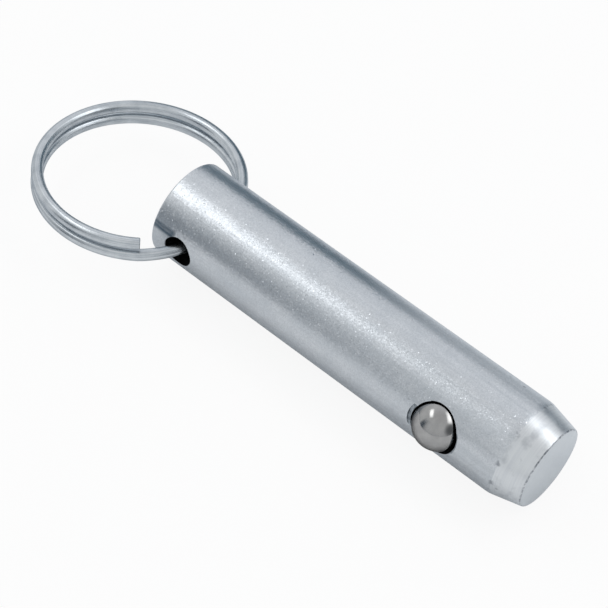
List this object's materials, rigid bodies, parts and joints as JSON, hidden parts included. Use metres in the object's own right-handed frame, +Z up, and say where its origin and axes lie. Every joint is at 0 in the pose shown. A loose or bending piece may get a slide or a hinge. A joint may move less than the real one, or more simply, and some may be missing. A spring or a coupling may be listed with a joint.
{
  "type": "detent ball pin with split ring",
  "caption": "Round plated steel hitch pin with a tapered nose, a spring-loaded detent ball near the nose and a split ring pull through a cross hole at the tail.",
  "frame": {"origin": "centre of the flat nose face", "axes": "+X along the shank, out of the nose; Y along the ring's cross hole, the ball on the -Y side; +Z up as the pin lies"},
  "size_m": [0.0972, 0.034, 0.0158],
  "materials": {
    "shank_plate": "bright zinc plated, satin",
    "ball_steel": "polished bearing steel",
    "spring_steel": "drawn spring wire",
    "ring_plate": "bright plated wire"
  },
  "bodies": {
    "pin": {"shank": "shank_plate", "detent_spring": "spring_steel"},
    "ball": {"detent_ball": "ball_steel"},
    "ring": {"split_ring": "ring_plate"}
  },
  "joints": [
    {"name": "ball_press", "type": "slide", "parent": "pin", "child": "ball", "axis": [0, 0.9792, -0.2028], "range_m": [0, 0.0022], "stiffness_N_per_m": 5000, "deforming": ["detent_spring"]},
    {"name": "ring_swing", "type": "hinge", "parent": "pin", "child": "ring", "pos_m": [-0.06536, 0, 0], "axis": [0, 1, 0], "range_deg": [-155, 155]}
  ]
}
